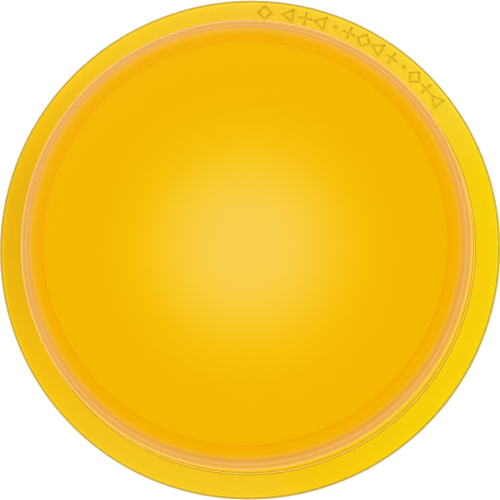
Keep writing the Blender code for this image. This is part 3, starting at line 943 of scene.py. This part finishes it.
lens_low, lens_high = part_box("lens")
flange_r = lens_high[0]
foot_r = 0.0449
cup_h = 0.0115
cup_top = flange_top + cup_h
crown = lens_high[2] - cup_top
wall_lean = math.tan(math.radians(3.3))
edge_radius = 0.0032
wall_top_r = foot_r - (cup_top - flange_top) * wall_lean
ring_count = 24
ring_shares = [i / ring_count for i in range(ring_count)]
ring_gap = 0.0005
bore_r = 0.0407
bore_edge = 0.0012
bore_gap = 0.0003
rim_wall = 0.0040
centre_wall = 0.0036
ceiling_rim = cup_top - rim_wall
ceiling_centre = cup_top + crown - centre_wall
spigot_out_r = 0.0437
spigot_in_r = 0.0414
spigot_z = lens_low[2]
outer = [(s * wall_top_r, cup_top + crown * (1.0 - s * s)) for s in ring_shares
         if s * wall_top_r < wall_top_r - edge_radius - ring_gap]
outer += [(wall_top_r, cup_top), (foot_r, flange_top), (flange_r, flange_top), (flange_r, flange_z),
          (spigot_out_r, flange_z), (spigot_out_r, spigot_z), (spigot_in_r, spigot_z)]
inner = [(bore_r, ceiling_rim)]
inner += [(s * bore_r, ceiling_rim + (ceiling_centre - ceiling_rim) * (1.0 - s * s))
          for s in reversed(ring_shares) if s * bore_r < bore_r - bore_edge - bore_gap]
lens = turn_rings("amber_lens", outer + inner, 256)
round_ring(lens, wall_top_r, cup_top, edge_radius, 12)
round_ring(lens, foot_r, flange_top, 0.00025, 3)
round_ring(lens, flange_r, flange_top, 0.0004, 4)
round_ring(lens, flange_r, flange_z, 0.0003, 3)
round_ring(lens, bore_r, ceiling_rim, bore_edge, 6)

mark_circle = 0.0475
mark_depth = 0.0002
mark_line = 0.00040
mark_step = math.radians(4.0)
mark_outlines = {"triangle": (3, 0.0018), "diamond": (4, 0.0016)}
mark_bars = {"cross": (0.0027, mark_line, 2), "dot": (0.0008, 0.0008, 1)}
mark_groups = [(4.0, ["diamond"]), (10.0, ["triangle", "cross", "triangle"]), (21.5, ["dot"]),
               (25.2, ["cross", "diamond", "triangle", "cross"]), (40.8, ["dot"]),
               (44.4, ["diamond", "cross", "triangle"])]


def mark_outline(corners, size, turn):
    """A cutter for a mould mark in outline: a triangle or a diamond."""
    select_none()
    bpy.ops.mesh.primitive_circle_add(vertices=corners, radius=size, fill_type="NGON",
                                      rotation=(0.0, 0.0, turn))
    tool = bpy.context.object
    bpy.ops.object.transform_apply(location=False, rotation=True, scale=False)
    bpy.ops.object.mode_set(mode="EDIT")
    bpy.ops.mesh.select_all(action="SELECT")
    bpy.ops.mesh.inset(thickness=mark_line)
    bpy.ops.mesh.delete(type="FACE")
    bpy.ops.mesh.select_all(action="SELECT")
    bpy.ops.mesh.extrude_region_move(TRANSFORM_OT_translate={"value": (0.0, 0.0, 2 * mark_depth)})
    bpy.ops.mesh.select_all(action="SELECT")
    bpy.ops.mesh.normals_make_consistent(inside=False)
    bpy.ops.object.mode_set(mode="OBJECT")
    return tool


def sink_mark(shape, azimuth):
    """Sinks one mould mark into the flange, at an angle round from the front."""
    x = mark_circle * math.sin(azimuth)
    y = mark_circle * math.cos(azimuth)
    if shape in mark_outlines:
        corners, size = mark_outlines[shape]
        cut(lens, settle(mark_outline(corners, size, math.radians(90.0)),
                         (x, y, flange_top - mark_depth), -azimuth))
        return
    length, width, bars = mark_bars[shape]
    for i in range(bars):
        cut(lens, block("bar", (length, width, 2 * mark_depth), (x, y, flange_top),
                        math.radians(90.0 * i) - azimuth))


for start, shapes in mark_groups:
    for i, shape in enumerate(shapes):
        sink_mark(shape, math.radians(start) + i * mark_step)
smooth(lens, 40.0)

# The amber is paler in the middle, painted light where the crown is thin and bright behind, and
# deeper over the rounded edge, partly for the plastic's depth and partly painted shade. Thin dark
# lines of painted shadow stand where the bore's corner, the wall's foot and the flange's rim are
# looked through, with a painted highlight on the foot's fillet between the two foot lines. Round
# the flange a second ramp paints shade on the left side and a pale painted reflection at the top
# and the bottom. Both ramps are (share of the radius or of a turn, colour).
amber_and_painted_light_stops = [(0.0, (0.755, 0.487, 0.0)), (0.12, (0.755, 0.487, 0.0)),
               (0.24, (0.785, 0.483, 0.0)), (0.40, (0.805, 0.45, 0.0)),
               (0.60, (0.825, 0.437, 0.0)), (0.77, (0.83, 0.435, 0.0)),
               (0.789, (0.83, 0.415, 0.0)), (0.7905, (0.72, 0.335, 0.0)),
               (0.7925, (0.72, 0.335, 0.0)), (0.794, (0.83, 0.395, 0.0)),
               (0.80, (0.83, 0.385, 0.0)), (0.822, (0.83, 0.41, 0.0)),
               (0.840, (0.78, 0.385, 0.0)), (0.852, (0.59, 0.258, 0.0)),
               (0.880, (0.60, 0.28, 0.0)), (0.892, (0.78, 0.44, 0.0)),
               (0.8945, (0.42, 0.20, 0.0)), (0.8955, (0.42, 0.20, 0.0)),
               (0.8965, (0.88, 0.58, 0.02)), (0.9005, (0.88, 0.58, 0.02)),
               (0.9012, (0.40, 0.19, 0.0)), (0.9028, (0.40, 0.19, 0.0)),
               (0.904, (0.98, 0.67, 0.010)), (0.989, (0.98, 0.67, 0.010)),
               (0.993, (0.42, 0.31, 0.02)), (1.0, (0.42, 0.31, 0.02))]
# Round the flange this ramp paints light and shade: painted shade darkens the left side, painted
# light brightens the right, and a pale painted reflection lies at the top and the bottom.
flange_painted_shade_and_reflection = [(0.0, (0.998, 0.685, 0.019)), (0.083, (0.99, 0.67, 0.016)),
                (0.167, (0.98, 0.618, 0.0055)), (0.25, (0.902, 0.535, 0.006)),
                (0.29, (0.902, 0.54, 0.006)), (0.333, (0.962, 0.597, 0.006)),
                (0.40, (0.99, 0.68, 0.018)), (0.50, (0.99, 0.692, 0.034)),
                (0.65, (1.0, 0.765, 0.032)), (0.70, (1.0, 0.76, 0.004)),
                (0.875, (1.0, 0.748, 0.003)), (0.95, (1.0, 0.68, 0.003)),
                (1.0, (0.998, 0.685, 0.019))]
flange_face = (0.9034, 0.991)
milky_amber = dressed("milky_amber_polycarbonate", moulded, (0.95, 0.52, 0.0), 0.07, 0.000002,
                      Grain_per_metre=260.0, Mottle=0.03, Unevenness=0.05)
tree = milky_amber.node_tree
shader = tree.nodes["Principled BSDF"]
shader.inputs["Transmission Weight"].default_value = 0.15
shader.inputs["IOR"].default_value = 1.586
shader.inputs["Specular IOR Level"].default_value = 0.36
shader.inputs["Specular Tint"].default_value = (1.0, 0.82, 0.70, 1.0)
place = tree.nodes.new("ShaderNodeTexCoord").outputs["Object"]
sides = tree.nodes.new("ShaderNodeSeparateXYZ")
tree.links.new(place, sides.inputs[0])
flat = tree.nodes.new("ShaderNodeVectorMath")
flat.operation = "MULTIPLY"
flat.inputs[1].default_value = (1.0, 1.0, 0.0)
tree.links.new(place, flat.inputs[0])
from_axis = tree.nodes.new("ShaderNodeVectorMath")
from_axis.operation = "LENGTH"
tree.links.new(flat.outputs[0], from_axis.inputs[0])
share = sum_node(tree, "DIVIDE", from_axis.outputs["Value"], flange_r)
turn = sum_node(tree, "ARCTAN2", sides.outputs["X"], sides.outputs["Y"])
turn_share = sum_node(tree, "MULTIPLY_ADD", turn, 0.5 / math.pi, 0.5)
ramp_colours = []
for factor, ramp_stops in ((share, amber_and_painted_light_stops), (turn_share, flange_painted_shade_and_reflection)):
    ramp = tree.nodes.new("ShaderNodeValToRGB")
    elements = ramp.color_ramp.elements
    while len(elements) < len(ramp_stops):
        elements.new(0.5)
    for element, (at, colour) in zip(elements, ramp_stops):
        element.position = at
        element.color = (*colour, 1.0)
    tree.links.new(factor, ramp.inputs[0])
    ramp_colours.append(ramp.outputs["Color"])
on_flange = sum_node(tree, "MULTIPLY", sum_node(tree, "GREATER_THAN", share, flange_face[0]),
                     sum_node(tree, "LESS_THAN", share, flange_face[1]))
toned = tree.nodes.new("ShaderNodeMix")
toned.data_type = "RGBA"
tree.links.new(on_flange, toned.inputs["Factor"])
colour_inputs = [socket for socket in toned.inputs if socket.type == "RGBA"]
for colour, socket in zip(ramp_colours, colour_inputs):
    tree.links.new(colour, socket)
toned_colour = [socket for socket in toned.outputs if socket.type == "RGBA"][0]
tree.links.new(toned_colour, tree.nodes["surface"].inputs["Colour"])

clear_amber = dressed("clear_amber_polycarbonate", moulded, (1.0, 0.86, 0.45), 0.05, 0.000002,
                      Grain_per_metre=260.0, Mottle=0.0, Unevenness=0.04)
shader = clear_amber.node_tree.nodes["Principled BSDF"]
shader.inputs["Transmission Weight"].default_value = 1.0
shader.inputs["IOR"].default_value = 1.586
lens.data.materials.clear()
lens.data.materials.append(milky_amber)
lens.data.materials.append(clear_amber)
for face in lens.data.polygons:
    under_ceiling = face.center.xy.length < spigot_in_r and face.center.z < cup_top - rim_wall / 2
    below_flange = face.center.z < flange_z + near / 2
    face.material_index = 1 if under_ceiling or below_flange else 0
fit(lens, "lens", "amber_lens")
